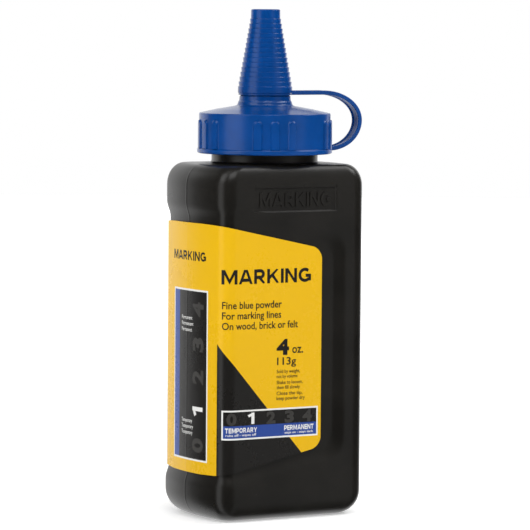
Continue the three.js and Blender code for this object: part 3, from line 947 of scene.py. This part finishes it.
def wrapped(letters, around, up, turn=False):
    """Letters laid on the label with their lower left corner at a distance round it and a height,
    or turned to read upwards: each point goes to that place on the label's run, and its thickness
    goes out along the normal there."""
    points, faces = letters
    x, y, out = points.T
    if turn:
        x, y = -y, x
    run, px, py, nx, ny = label_path(LABEL_FACE)
    at = around + x
    px, py, nx, ny = (np.interp(at, run, line) for line in (px, py, nx, ny))
    return np.stack((px + nx * out, py + ny * out, up + y), axis=-1), faces


def print_piece(name, material, words, ink):
    """One piece of print from a list of words, each with its place, width, capital height and
    weight, and True after those if it reads upwards."""
    solids = [
        wrapped(letter_solid(text, width, height, ink, weight), around, up, *turn)
        for text, around, up, width, height, weight, *turn in words
    ]
    piece = new_piece(name, joined(*solids), material, 30)
    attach(piece, "bottle_body")


DARK_WORDS = [
    ("MARKING", 16.95, 71.6, 30.3, 4.3, 0.0),
    ("MARKING", -9.3, 77.9, 19.5, 2.8, 0.0),
    ("Fine blue powder", 17.2, 64.3, 20.0, 2.2, 0.04),
    ("For marking lines", 17.2, 61.2, 19.8, 2.2, 0.04),
    ("On wood, brick or felt", 17.2, 58.1, 25.6, 2.2, 0.04),
    ("4", 35.5, 50.2, 4.3, 4.4, 0.3),
    ("oz.", 40.9, 50.4, 3.8, 2.7, 0.05),
    ("113g", 35.7, 47.0, 6.6, 2.3, 0.045),
    ("Sold by weight,", 35.6, 44.5, 8.1, 1.1, 0.01),
    ("not by volume", 35.6, 43.0, 7.2, 1.1, 0.01),
    ("Shake to loosen,", 35.6, 41.2, 9.0, 1.1, 0.01),
    ("then fill slowly", 35.6, 39.7, 8.1, 1.1, 0.01),
    ("Close the tip,", 35.6, 37.9, 9.0, 1.1, 0.01),
    ("keep powder dry", 35.6, 36.4, 9.8, 1.1, 0.01),
    ("Fine blue powder", -45.0, 64.3, 26.0, 2.6, 0.05),
    ("Pull the cap off the tip and", -45.0, 60.2, 26.0, 1.5, 0.015),
    ("squeeze powder into the reel.", -45.0, 57.4, 26.0, 1.5, 0.015),
    ("Press the cap back on and", -45.0, 54.6, 24.0, 1.5, 0.015),
    ("keep the bottle dry.", -45.0, 51.8, 18.0, 1.5, 0.015),
]
LIGHT_WORDS = [
    ("1", 25.7, 29.7, 2.3, 3.4, 0.0),
    ("TEMPORARY", 18.35, 27.2, 10.6, 1.5, 0.0),
    ("rubs off - wipes off", 18.5, 26.2, 10.2, 0.7, 0.01),
    ("PERMANENT", 38.35, 27.2, 10.2, 1.5, 0.0),
    ("stays on - stays dark", 38.5, 26.2, 9.9, 0.7, 0.01),
    ("1", 8.9, 31.2, 2.9, 5.3, 0.0, True),
    ("Permanent", -3.2, 60.1, 6.4, 1.2, 0.0),
    ("Permanent", -3.2, 58.3, 7.0, 1.2, 0.0),
    ("Permanent", -3.2, 56.5, 6.2, 1.2, 0.0),
    ("Temporary", -3.0, 29.1, 6.4, 1.2, 0.0),
    ("Temporary", -3.0, 27.3, 6.9, 1.2, 0.0),
    ("Temporary", -3.0, 25.5, 6.6, 1.2, 0.0),
]
DIM_WORDS = [
    ("0", 18.7, 29.7, 3.2, 3.4, 0.22),
    ("2", 32.2, 29.7, 3.1, 3.4, 0.22),
    ("3", 38.5, 29.7, 3.2, 3.4, 0.22),
    ("4", 44.7, 29.7, 3.2, 3.4, 0.22),
    ("0", 8.9, 20.3, 4.4, 5.3, 0.32, True),
    ("2", 8.9, 40.9, 4.3, 5.3, 0.32, True),
    ("3", 8.9, 50.7, 4.3, 5.3, 0.32, True),
    ("4", 8.9, 61.2, 4.4, 5.3, 0.32, True),
]


def build_label(settings):
    """The label and its print."""
    points, around = label_shape()
    hub_run = [around[0].mean(), around[-1].mean()]
    hub_height = [points[0, :, 2].mean(), points[-1, :, 2].mean()]
    label = new_piece("label_skin", closed_loft(points), label_film(settings), 60)
    around = np.concatenate((around.ravel(), hub_run))
    add_wrap_map(label, around, np.concatenate((points.reshape(-1, 3)[:, 2], hub_height)))
    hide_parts("label")
    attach(label, "bottle_body")
    ink = settings.ink_height / MM
    print_piece("print_dark", print_ink("ink_dark", settings.black), DARK_WORDS, ink)
    print_piece("print_light", print_ink("ink_light", settings.white), LIGHT_WORDS, ink)
    print_piece("print_dim", print_ink("ink_dim", settings.grey), DIM_WORDS, ink)


def build_chalk(settings):
    """The powder: the wall's rings a little inside the bottle, then rings that close over its top,
    which slopes and heaves gently."""
    levels = body_levels(False)
    levels = levels[levels[:, 0] < CHALK_SIDES_TOP]
    rings = body_rings(levels, WALL + CHALK_GAP)
    brim = np.array([[CHALK_TOP, BODY_WIDTH, BODY_DEPTH, CORNER_RADIUS]])
    top = body_rings(brim, WALL + CHALK_GAP)[0]
    share = np.linspace(1, 0.04, 16)[:, None, None]
    cover = top * np.concatenate((share, share, share * 0 + 1), axis=2)
    x, y = cover[..., 0], cover[..., 1]
    cover[..., 2] += 0.06 * x - 0.5 * (1 - share[..., 0]) * (1 + np.sin(0.5 * x + 1) * np.cos(0.4 * y))
    points = np.concatenate((rings, cover))
    chalk = new_piece("powder_fill", closed_loft(points), chalk_dust(settings.powder), 60)
    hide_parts("chalk_powder")
    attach(chalk, "bottle_body")


# ---- Closure ----


def closure_angles():
    """Angles of the closure's stations, close together at the edges of each grip rib."""
    offsets = np.array([0.4, 0.8, 1.1, 1.3, 1.42, 1.5, 1.62, 1.8]) / SKIRT_RADIUS
    offsets = np.concatenate((-offsets[::-1], [0], offsets))
    group = np.arange(RIB_GROUPS)[:, None] * 2 * np.pi / RIB_GROUPS
    centres = (RIB_ANGLE + group + np.array([-1, 0, 1]) * RIB_SPACING).ravel()
    ribs = (centres[:, None] + offsets).ravel()
    plain = (RIB_ANGLE + group + np.radians(np.linspace(22.5, 49.5, 10))).ravel()
    angles = np.sort(np.concatenate((ribs, plain)) % (2 * np.pi))
    return angles, centres


def rib_rise(angles, centres, height):
    """How much of a rib's height stands at each place: a smooth step inward from the edge of an
    upright shape with straight sides and a round top."""
    gap = (angles[None, :] - centres[:, None] + np.pi) % (2 * np.pi) - np.pi
    aside = np.abs(gap).min(axis=0) * SKIRT_RADIUS
    above = np.maximum(0, height[:, None] - (RIB_TOP - RIB_HALF))
    inside = RIB_HALF - np.hypot(aside[None, :], above)
    return smoothstep(-0.02, 0.34, inside)


def nozzle_bore(height):
    """Radius of the nozzle's bore, which narrows evenly upwards."""
    taper = (NOZZLE_FOOT_RADIUS - NOZZLE_TOP_RADIUS) / (NOZZLE_TOP - NOZZLE_FOOT)
    return NOZZLE_FOOT_BORE - (height - NOZZLE_FOOT) * taper


def build_closure(settings):
    """The screw closure: flange, skirt with grip ribs, domed top, nozzle, and the bore and thread
    inside, as one profile turned round Z with the ribs raised on it."""
    angles, centres = closure_angles()
    rise = np.linspace(FLANGE_TOP + 0.35, RIM_HEIGHT - 0.75, 46)
    bottom = [
        (SKIRT_BORE, FLANGE_BOTTOM + 0.25),
        (SKIRT_BORE + 0.25, FLANGE_BOTTOM),
        (FLANGE_RADIUS - 0.3, FLANGE_BOTTOM),
        (FLANGE_RADIUS, FLANGE_BOTTOM + 0.3),
        (FLANGE_RADIUS, FLANGE_TOP - 0.25),
        (FLANGE_RADIUS - 0.25, FLANGE_TOP),
        (SKIRT_RADIUS + 0.04, FLANGE_TOP + 0.02),
    ]
    skirt = np.stack((np.full_like(rise, SKIRT_RADIUS), rise), axis=-1)
    dome = [
        (SKIRT_RADIUS, RIM_HEIGHT - 0.6),
        (SKIRT_RADIUS - 0.08, RIM_HEIGHT - 0.1),
        (SKIRT_RADIUS - 0.6, RIM_HEIGHT + 0.02),
        (14.5, 122.95),
        (9.3, 123.85),
        (8.45, 124.15),
        (8.22, 124.75),
        (8.15, 125.1),
        (8.0, 125.28),
        (7.85, 125.6),
        (7.7, NOZZLE_FOOT),
        (NOZZLE_FOOT_RADIUS, NOZZLE_FOOT + 0.05),
        (NOZZLE_TOP_RADIUS, NOZZLE_TOP - 0.1),
        (NOZZLE_TOP_RADIUS - 0.15, NOZZLE_TOP),
        (nozzle_bore(NOZZLE_TOP) + 0.1, NOZZLE_TOP),
        (nozzle_bore(NOZZLE_TOP - 0.1), NOZZLE_TOP - 0.1),
        (NOZZLE_FOOT_BORE, NOZZLE_FOOT),
        (NOZZLE_FOOT_BORE, ROOF_UNDERSIDE + 0.3),
        (NOZZLE_FOOT_BORE + 0.3, ROOF_UNDERSIDE),
        (SKIRT_BORE - 0.3, ROOF_UNDERSIDE),
        (SKIRT_BORE, ROOF_UNDERSIDE - 0.3),
    ]
    lower = rounded_profile(bottom + [tuple(skirt[0])], 0.18, 3)[:-1]
    upper = rounded_profile([tuple(skirt[-1])] + dome, 0.35, 4)[1:]
    profile = np.vstack((lower, skirt, upper))
    points = turned(profile, angles)
    raised = settings.rib_height / MM * rib_rise(angles, centres, profile[:, 1])
    outside = (profile[:, 0] > 19.3) & (profile[:, 0] < 20.0)
    outside &= (profile[:, 1] > FLANGE_TOP) & (profile[:, 1] < RIM_HEIGHT)
    raised = raised * outside[:, None]
    points[..., 0] += raised * np.cos(angles)
    points[..., 1] += raised * np.sin(angles)
    height = THREAD_START + THREAD_PITCH * (SKIRT_THREAD_TURN - 0.5)
    ridge = thread_ridge(SKIRT_BORE + 0.3, NECK_RADIUS + 0.4, height, SKIRT_THREAD_TURN)
    material = closure_plastic(settings.plastic)
    shell = joined(closed_loft(points, True), ridge)
    closure = new_piece("closure_shell", shell, material, 40)
    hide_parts("closure")
    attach(closure, "closure_body")


def build_liner(settings):
    """The foam ring that seals the neck, a flat turned ring with soft edges."""
    low, high = ROOF_UNDERSIDE - 1.0, ROOF_UNDERSIDE - 0.3
    bore, outer = 13.4, SKIRT_BORE - 0.3
    corners = [(14.5, low), (outer, low), (outer, high), (bore, high), (bore, low), (14.4, low)]
    points = turned(rounded_profile(corners, 0.2), 128)
    liner = new_piece("liner_ring", closed_loft(points, True), foam_sheet(settings.foam))
    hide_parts("closure_liner")
    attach(liner, "liner_body")


def tip_profile():
    """The tip cap's section, from its ceiling down the inside to the mouth, then up the steps to
    the top: each step widens a little upwards and ends in a rounded ledge."""
    pitch = (TIP_STEPS_TOP - TIP_COLLAR_TOP) / TIP_STEPS
    growth = (TIP_COLLAR_RADIUS - TIP_RADIUS - TIP_LEDGE) / TIP_STEPS
    step = np.arange(TIP_STEPS - 1, -1, -1)
    radius = TIP_RADIUS + TIP_LEDGE + growth * step
    high = TIP_STEPS_TOP - pitch * step
    ledges = np.stack((radius - 0.04, high - pitch + 0.04, radius + 0.05, high - 0.03), axis=-1)
    inside = [(0.0, TIP_CEILING), (3.8, TIP_CEILING), (7.75, TIP_BOTTOM)]
    collar = [
        (8.05, TIP_BOTTOM),
        (8.05, TIP_BOTTOM + 0.55),
        (TIP_COLLAR_RADIUS, TIP_BOTTOM + 0.7),
        (TIP_COLLAR_RADIUS - 0.03, TIP_COLLAR_TOP - 0.04),
    ]
    top = [
        (TIP_RADIUS + 0.04, TIP_STEPS_TOP + 0.05),
        (TIP_RADIUS, TIP_TOP - 0.25),
        (TIP_RADIUS - 0.25, TIP_TOP),
        (0.0, TIP_TOP),
    ]
    return rounded_profile(inside + collar + ledges.reshape(-1, 2).tolist() + top, 0.1, 3)


def build_tip(settings):
    """The stepped tip cap over the nozzle, turned round Z."""
    points = turned(tip_profile()[1:-1], 128)
    material = closure_plastic(settings.plastic, "tip_plastic")
    tip = new_piece("tip_shell", closed_loft(points), material, 28)
    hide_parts("tip_cap")
    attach(tip, "tip_cap_body")


def strap_line():
    """The strap's middle line in the XZ plane: straight out of the flange, a quarter ellipse up to
    its furthest reach, a quarter ellipse back, and straight to the tip cap's collar, with the
    distance along it."""
    middle, rise = (STRAP_LOW + STRAP_HIGH) / 2, (STRAP_HIGH - STRAP_LOW) / 2
    t = np.linspace(-np.pi / 2, np.pi / 2, 241)
    centre = np.where(t < 0, STRAP_LOW_CENTRE, STRAP_HIGH_CENTRE)
    x = np.concatenate(([STRAP_ROOT - 1.2, STRAP_ROOT], centre + (STRAP_REACH - centre) * np.cos(t)))
    z = np.concatenate(([STRAP_LOW, STRAP_LOW], middle + rise * np.sin(t)))
    x = np.concatenate((x, [STRAP_TIP, STRAP_TIP - 0.8]))
    z = np.concatenate((z, [STRAP_HIGH, STRAP_HIGH]))
    run = np.concatenate(([0], np.cumsum(np.hypot(np.diff(x), np.diff(z))))) - 1.2
    return run, x, z


def strap_section(width, thickness, channel):
    """The strap's section: a flat bar with a rim along each edge and a shallow channel between, on
    both faces, its corners cut twice so that they are round."""
    half, edge = width / 2, thickness / 2
    quarter = [(half, edge * 0.2), (half, edge), (half - 0.62, edge), (half - 0.95, edge - channel)]
    quarter = np.array(quarter + [(half * 0.25, edge - channel)])
    upper = np.vstack((quarter, quarter[::-1] * (-1, 1)))
    loop = np.vstack((upper, -upper))
    for _ in range(2):
        after = np.roll(loop, -1, axis=0)
        loop = np.stack((0.75 * loop + 0.25 * after, 0.25 * loop + 0.75 * after), axis=1).reshape(-1, 2)
    return loop


def strap_part(settings, start, end):
    """A length of strap: the section carried along the line, upright to it."""
    run, x, z = strap_line()
    at = np.linspace(start, end, max(12, int((end - start) / 0.25)))
    px, pz = np.interp(at, run, x), np.interp(at, run, z)
    ahead = np.stack((np.interp(at + 0.05, run, x), np.interp(at + 0.05, run, z)), axis=-1)
    behind = np.stack((np.interp(at - 0.05, run, x), np.interp(at - 0.05, run, z)), axis=-1)
    along = (ahead - behind) / np.linalg.norm(ahead - behind, axis=1)[:, None]
    sizes = (settings.strap_width, settings.strap_thickness, settings.strap_channel)
    across, off = strap_section(*(size / MM for size in sizes)).T
    points = np.stack(
        (
            px[:, None] - along[:, 1:] * off,
            across + px[:, None] * 0,
            pz[:, None] + along[:, :1] * off,
        ),
        axis=-1,
    )
    return closed_loft(points)


def build_strap(settings):
    """The strap as four lengths, each round one of the hinge points on its line. Neighbours meet halfway
    between two hinges."""
    run, x, z = strap_line()
    total = run[-1] - 0.8
    hinges = (0.0, *STRAP_HINGES, total)
    ends = (-1.0, *STRAP_JOINS, total + 0.7)
    bodies = ("closure", "strap_lower", "strap_middle", "strap_upper", "tip_cap")
    stands_for = (["strap_lower"], ["strap_lower", "strap_middle"], ["strap_middle"], ["strap_upper"])
    material = closure_plastic(settings.plastic, "strap_plastic")
    for number, hinge in enumerate(hinges):
        solid = strap_part(settings, ends[number], ends[number + 1])
        piece = new_piece(f"strap_length_{number + 1}", solid, material, 60)
        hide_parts(*stands_for[number])
        places = (hinge, hinge + 0.1, *ends[number : number + 2])
        point, after, first, last = (
            np.array([np.interp(at, run, x), 0, np.interp(at, run, z)]) for at in places
        )
        along = (after - point) / np.linalg.norm(after - point)
        back = 0.3 if number == 0 else 0.96 * np.dot(point - first, along)
        on = 0.3 if number == 3 else 0.96 * np.dot(last - point, along)
        pair = [f"{body}_body" for body in bodies[number : number + 2]]
        (point - along * back) * MM
        (point + along * on) * MM
        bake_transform(piece)


# ---- Studio ----


def softbox(name, place, width, power, mirrored):
    """A square light that faces the target. Unless it is mirrored, gloss does not show it."""
    light = bpy.data.lights.new(name, "AREA")
    light.shape = "RECTANGLE"
    light.size = light.size_y = width
    light.energy = power
    lamp = bpy.data.objects.new(name, light)
    lamp.location = place
    lamp.rotation_euler = (Vector(LIGHT_TARGET) - Vector(place)).to_track_quat("-Z", "Y").to_euler()
    lamp.visible_glossy = mirrored
    bpy.context.scene.collection.objects.link(lamp)


def studio_world():
    """Soft white surroundings that the pieces reflect: bright behind the object, a soft strip on the
    left and a fainter one on the front right, dim between them, and light overhead. The brightness
    is the sum of a smooth step up and down across each range of compass angle, in degrees from -X
    towards -Y. The camera itself sees plain white."""
    world = bpy.data.worlds.new("studio")
    bpy.context.scene.world = world
    finish = Finish(world)
    direction = finish.node("ShaderNodeTexCoord", output="Generated")
    across, deep = (finish.axis(direction, name) * -1 for name in "XY")
    angle = deep.maths("ARCTAN2", deep, across) * math.degrees(1)
    high = finish.axis(direction, "Z")
    behind = angle.ramp(-168, -150) * (1 - angle.ramp(-66, -50)) * (1 - high.ramp(0.42, 0.64))
    left = angle.ramp(-18, -8) * (1 - angle.ramp(16, 28))
    right = angle.ramp(100, 112) * (1 - angle.ramp(126, 142))
    overhead = high.ramp(0.5, 0.9)
    light = 0.035 + behind * 1.1 + left * 1.5 + right * 0.42 + overhead * 0.08
    seen = finish.node("ShaderNodeLightPath", output="Is Camera Ray")
    strength = seen + light * (1 - seen)
    background = finish.tree.nodes["Background"]
    finish.put(background.inputs["Strength"], strength)
    finish.put(background.inputs["Color"], (1.0, 1.0, 1.0, 1.0))


def studio_camera(lens):
    """The camera looks at the object from its front left, a little above the middle."""
    side, level, roll = CAMERA_SIDE, math.cos(CAMERA_PITCH), CAMERA_ROLL
    forward = Vector((math.sin(side) * level, math.cos(side) * level, -math.sin(CAMERA_PITCH)))
    right = Vector((math.cos(side), -math.sin(side), 0))
    up = right.cross(forward)
    place = Vector((0, 0, CAMERA_HEIGHT)) + right * CAMERA_SHIFT - forward * CAMERA_DISTANCE
    data = bpy.data.cameras.new("camera")
    data.lens = lens
    data.sensor_width = 36
    data.clip_end = 200
    camera = bpy.data.objects.new("camera", data)
    across = right * math.cos(roll) + up * math.sin(roll)
    upright = up * math.cos(roll) - right * math.sin(roll)
    turn = Matrix((across, upright, -forward)).transposed().to_4x4()
    camera.matrix_world = Matrix.Translation(place) @ turn
    bpy.context.scene.collection.objects.link(camera)
    bpy.context.scene.camera = camera


def build_studio(settings):
    """Camera, floor and lights."""
    studio_camera(settings.lens)
    bpy.context.scene.view_settings.view_transform = "Standard"
    radius = np.array([0.05, 0.2, 0.5, 1.0, 1.8]) / MM
    disc = turned(np.stack((radius, radius * 0), axis=-1), 96)
    hub = np.zeros((1, 3))
    faces = grid_faces(*disc.shape[:2])[:, ::-1].tolist()
    faces += fan_faces(0, 96, disc.shape[0] * 96, False).tolist()
    solid = (np.vstack((disc.reshape(-1, 3), hub)), faces)
    floor = new_piece("floor", solid, studio_floor(settings.floor))
    floor.visible_glossy = False
    studio_world()
    for name, (place, width, mirrored) in SOFTBOXES.items():
        softbox(f"{name}_softbox", place, width, getattr(settings, f"{name}_power"), mirrored)


# ---- Add-on ----


class CHALK_OT_bottle(bpy.types.Operator):
    """Build the bottle"""

    bl_idname = "chalk.bottle"
    bl_label = "Bottle"

    def execute(self, context):
        build_bottle(context.scene.chalk_bottle)
        return {"FINISHED"}


class CHALK_OT_label(bpy.types.Operator):
    """Build the label and its print"""

    bl_idname = "chalk.label"
    bl_label = "Label"

    def execute(self, context):
        build_label(context.scene.chalk_bottle)
        return {"FINISHED"}


class CHALK_OT_powder(bpy.types.Operator):
    """Build the powder inside the bottle"""

    bl_idname = "chalk.powder"
    bl_label = "Powder"

    def execute(self, context):
        build_chalk(context.scene.chalk_closure)
        return {"FINISHED"}


class CHALK_OT_closure(bpy.types.Operator):
    """Build the screw closure with its nozzle"""

    bl_idname = "chalk.closure"
    bl_label = "Closure"

    def execute(self, context):
        build_closure(context.scene.chalk_closure)
        return {"FINISHED"}


class CHALK_OT_liner(bpy.types.Operator):
    """Build the foam sealing ring"""

    bl_idname = "chalk.liner"
    bl_label = "Liner"

    def execute(self, context):
        build_liner(context.scene.chalk_closure)
        return {"FINISHED"}


class CHALK_OT_tip(bpy.types.Operator):
    """Build the stepped tip cap"""

    bl_idname = "chalk.tip"
    bl_label = "Tip Cap"

    def execute(self, context):
        build_tip(context.scene.chalk_closure)
        return {"FINISHED"}


class CHALK_OT_strap(bpy.types.Operator):
    """Build the strap that tethers the tip cap"""

    bl_idname = "chalk.strap"
    bl_label = "Strap"

    def execute(self, context):
        build_strap(context.scene.chalk_closure)
        return {"FINISHED"}


class CHALK_OT_studio(bpy.types.Operator):
    """Build the floor, lights and camera"""

    bl_idname = "chalk.studio"
    bl_label = "Studio"

    def execute(self, context):
        build_studio(context.scene.chalk_studio)
        return {"FINISHED"}


class CHALK_PT_panel(bpy.types.Panel):
    """Lists the pieces, their sizes and their colours"""

    bl_idname = "CHALK_PT_panel"
    bl_label = "Chalk Bottle"
    bl_space_type = "VIEW_3D"
    bl_region_type = "UI"
    bl_category = "Chalk Bottle"

    def draw(self, context):
        for operator in OPERATORS:
            self.layout.operator(operator.bl_idname)
        scene = context.scene
        for settings in (scene.chalk_bottle, scene.chalk_closure, scene.chalk_studio):
            box = self.layout.box()
            for name in settings.__annotations__:
                box.prop(settings, name)


OPERATORS = (
    CHALK_OT_studio,
    CHALK_OT_bottle,
    CHALK_OT_label,
    CHALK_OT_powder,
    CHALK_OT_closure,
    CHALK_OT_liner,
    CHALK_OT_tip,
    CHALK_OT_strap,
)
CLASSES = (ChalkBottleSettings, ChalkClosureSettings, ChalkStudioSettings, *OPERATORS, CHALK_PT_panel)


def register():
    for item in CLASSES:
        bpy.utils.register_class(item)
    bpy.types.Scene.chalk_bottle = PointerProperty(type=ChalkBottleSettings)
    bpy.types.Scene.chalk_closure = PointerProperty(type=ChalkClosureSettings)
    bpy.types.Scene.chalk_studio = PointerProperty(type=ChalkStudioSettings)


def unregister():
    del bpy.types.Scene.chalk_studio
    del bpy.types.Scene.chalk_closure
    del bpy.types.Scene.chalk_bottle
    for item in reversed(CLASSES):
        bpy.utils.unregister_class(item)


def main():
    """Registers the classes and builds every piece."""
    register()
    for operator in OPERATORS:
        getattr(bpy.ops.chalk, operator.bl_idname.split(".")[1])()


if __name__ == "__main__":
    main()
